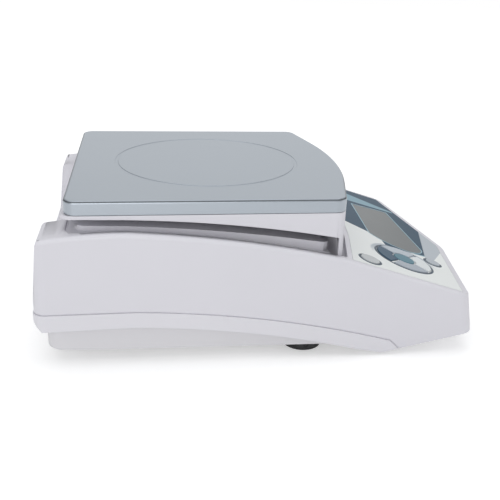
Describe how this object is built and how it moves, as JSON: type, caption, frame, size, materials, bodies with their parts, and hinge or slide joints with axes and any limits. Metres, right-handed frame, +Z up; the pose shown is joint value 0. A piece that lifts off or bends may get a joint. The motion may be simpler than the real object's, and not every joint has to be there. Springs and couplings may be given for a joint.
{
  "type": "laboratory balance",
  "caption": "Benchtop laboratory balance: wedge casing with sloping key and display panel, lift-off steel pan on a sprung carrier, screw feet in front.",
  "frame": {"origin": "middle of the footprint's bounding box, on the surface it stands on", "axes": "+Z up, -Y towards the operator, +X to the operator's right"},
  "size_m": [0.208, 0.3108, 0.1085],
  "materials": {
    "casing": "satin",
    "shell": "satin",
    "base": "satin",
    "pan": "satin",
    "carrier": "satin",
    "bumpers": "satin",
    "spindle": "satin",
    "cell": "satin",
    "cell_block": "satin",
    "cell_screws": "satin",
    "cell_plate": "satin",
    "plate_screws": "satin",
    "stop": "satin",
    "adapter": "satin",
    "spring": "satin",
    "foot_pads": "satin",
    "foot_wheels": "satin",
    "inserts": "satin",
    "heels": "satin",
    "case_screws": "satin",
    "overlay": "satin",
    "window": "satin",
    "module": "satin",
    "switches": "satin",
    "boards": "satin",
    "board_screws": "satin",
    "power_socket": "satin",
    "serial_socket": "satin",
    "ribbon": "satin",
    "level_housing": "satin",
    "level_vial": "satin",
    "key_right": "satin",
    "key_up": "satin",
    "key_left": "satin",
    "key_down": "satin",
    "key_enter": "satin",
    "key_tare": "satin",
    "key_power": "satin"
  },
  "bodies": {
    "casing": {"upper_housing": "casing", "lower_shell": "shell", "base_tray": "base", "load_cell_beam": "cell", "cell_support_block": "cell_block", "cell_screws": "cell_screws", "cell_base_plate": "cell_plate", "plate_screws": "plate_screws", "overload_stop": "stop", "spindle_adapter": "adapter", "overload_spring": "spring", "foot_inserts": "inserts", "heel_pads": "heels", "case_screws": "case_screws", "panel_overlay": "overlay", "display_window": "window", "display_module": "module", "key_switches": "switches", "panel_board": "boards", "panel_screws": "board_screws", "main_board": "boards", "socket_board": "boards", "board_screws": "board_screws", "power_socket": "power_socket", "serial_socket": "serial_socket", "ribbon_cable": "ribbon", "level_housing": "level_housing", "level_vial": "level_vial"},
    "load_receiver": {"pan_carrier": "carrier", "pan_bumpers": "bumpers", "support_spindle": "spindle"},
    "pan": {"weighing_pan": "pan"},
    "left_foot_pad": {"foot_pad_left": "foot_pads"},
    "left_foot_wheel": {"foot_wheel_left": "foot_wheels"},
    "right_foot_pad": {"foot_pad_right": "foot_pads"},
    "right_foot_wheel": {"foot_wheel_right": "foot_wheels"},
    "right_key": {"key_right": "key_right"},
    "up_key": {"key_up": "key_up"},
    "left_key": {"key_left": "key_left"},
    "down_key": {"key_down": "key_down"},
    "enter_key": {"key_enter": "key_enter"},
    "tare_key": {"key_tare": "key_tare"},
    "power_key": {"key_power": "key_power"}
  },
  "joints": [
    {"name": "load_receiver_slide", "type": "slide", "parent": "casing", "child": "load_receiver", "axis": [0, 0, -1], "range_m": [0, 0.0005], "stiffness_N_per_m": 60000},
    {"name": "pan_lift_off", "type": "slide", "parent": "load_receiver", "child": "pan", "axis": [0, 0, 1], "range_m": [0, 0.06]},
    {"name": "left_foot_height", "type": "slide", "parent": "casing", "child": "left_foot_pad", "axis": [0, 0, -1], "range_m": [-0.003, 0.003]},
    {"name": "left_foot_turn", "type": "hinge", "parent": "left_foot_pad", "child": "left_foot_wheel", "pos_m": [-0.08, -0.02139, 0.005], "axis": [0, 0, -1], "range_deg": [-725, 725]},
    {"name": "right_foot_height", "type": "slide", "parent": "casing", "child": "right_foot_pad", "axis": [0, 0, -1], "range_m": [-0.003, 0.003]},
    {"name": "right_foot_turn", "type": "hinge", "parent": "right_foot_pad", "child": "right_foot_wheel", "pos_m": [0.08, -0.02139, 0.005], "axis": [0, 0, -1], "range_deg": [-725, 725]},
    {"name": "right_key_press", "type": "slide", "parent": "casing", "child": "right_key", "axis": [0, 0.3048, -0.9524], "range_m": [0, 0.0006], "stiffness_N_per_m": 2500},
    {"name": "up_key_press", "type": "slide", "parent": "casing", "child": "up_key", "axis": [0, 0.3048, -0.9524], "range_m": [0, 0.0006], "stiffness_N_per_m": 2500},
    {"name": "left_key_press", "type": "slide", "parent": "casing", "child": "left_key", "axis": [0, 0.3048, -0.9524], "range_m": [0, 0.0006], "stiffness_N_per_m": 2500},
    {"name": "down_key_press", "type": "slide", "parent": "casing", "child": "down_key", "axis": [0, 0.3048, -0.9524], "range_m": [0, 0.0006], "stiffness_N_per_m": 2500},
    {"name": "enter_key_press", "type": "slide", "parent": "casing", "child": "enter_key", "axis": [0, 0.3048, -0.9524], "range_m": [0, 0.0006], "stiffness_N_per_m": 2500},
    {"name": "tare_key_press", "type": "slide", "parent": "casing", "child": "tare_key", "axis": [0, 0.3048, -0.9524], "range_m": [0, 0.0006], "stiffness_N_per_m": 2500},
    {"name": "power_key_press", "type": "slide", "parent": "casing", "child": "power_key", "axis": [0, 0.3048, -0.9524], "range_m": [0, 0.0006], "stiffness_N_per_m": 2500}
  ],
  "couplings": [
    {"joint": "left_foot_turn", "follows": "left_foot_height", "rad_per_m": 4188.8},
    {"joint": "right_foot_turn", "follows": "right_foot_height", "rad_per_m": 4188.8}
  ]
}
